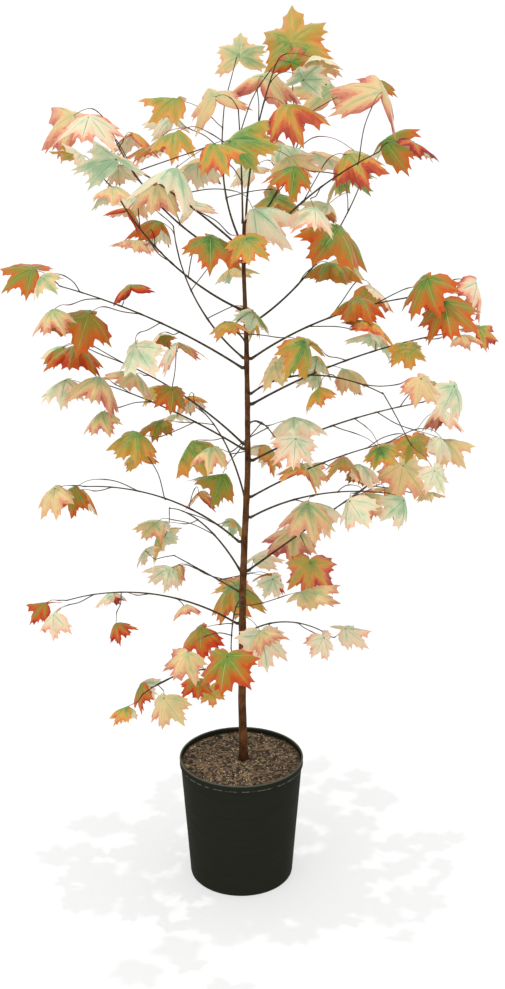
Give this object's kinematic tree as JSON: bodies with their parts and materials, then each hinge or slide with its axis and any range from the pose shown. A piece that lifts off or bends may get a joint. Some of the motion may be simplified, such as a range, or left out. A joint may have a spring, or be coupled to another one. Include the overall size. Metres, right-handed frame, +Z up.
{
  "type": "red maple tree in nursery pot",
  "caption": "Young red maple in autumn colour in a round black nursery pot filled with potting mix, thin trunk, slim boughs and sprays of lobed leaves; stands on the pot's flat base.",
  "frame": {"origin": "centre of the pot's flat underside, on the ground it stands on", "axes": "+Z up along the pot's axis and the trunk, -Y towards the viewer of the picture, +X to the viewer's right"},
  "size_m": [1.0782, 1.0683, 1.9643],
  "materials": {
    "pot_plastic": "blow-moulded black-green polyethylene with a satin lip",
    "potting_mix": "coarse bark and peat mix with pale flecks",
    "bark": "smooth young red-brown bark with fine lenticels",
    "foliage": "autumn maple leaves in red, orange, gold and green on thin dark twigs"
  },
  "bodies": {
    "root": {"pot": "pot_plastic", "potting_mix": "potting_mix", "trunk": "bark", "bough_low_left_front": "bark", "bough_low_left": "bark", "bough_low_front": "bark", "bough_low_right_back": "bark", "bough_low_back": "bark", "bough_mid_left": "bark", "bough_mid_right_front": "bark", "bough_mid_back": "bark", "bough_mid_right": "bark", "bough_mid_right_long": "bark", "bough_mid_left_high": "bark", "bough_mid_left_back": "bark", "bough_high_right": "bark", "bough_high_right_front": "bark", "bough_high_left": "bark", "bough_high_left_back": "bark", "bough_high_right_long": "bark", "bough_high_back": "bark", "bough_high_left_long": "bark", "bough_top_left": "bark", "bough_top_left_front": "bark", "bough_top_back": "bark", "bough_top_right_back": "bark", "bough_top_right_front": "bark", "bough_leader_left": "bark", "bough_leader_right": "bark", "foliage_low_left_front": "foliage", "foliage_low_right": "foliage", "foliage_low_left": "foliage", "foliage_low_front": "foliage", "foliage_low_back_left": "foliage", "foliage_low_right_back": "foliage", "foliage_low_back": "foliage", "foliage_mid_left": "foliage", "foliage_mid_right_front": "foliage", "foliage_mid_back": "foliage", "foliage_mid_right": "foliage", "foliage_mid_right_long": "foliage", "foliage_mid_left_high": "foliage", "foliage_mid_left_back": "foliage", "foliage_mid_front": "foliage", "foliage_high_right": "foliage", "foliage_high_right_front": "foliage", "foliage_high_left": "foliage", "foliage_high_left_back": "foliage", "foliage_high_right_long": "foliage", "foliage_high_front": "foliage", "foliage_high_back": "foliage", "foliage_high_left_long": "foliage", "foliage_top_left": "foliage", "foliage_top_left_front": "foliage", "foliage_top_back": "foliage", "foliage_top_right_back": "foliage", "foliage_top_right_front": "foliage", "foliage_leader_left": "foliage", "foliage_leader_right": "foliage"}
  },
  "joints": []
}
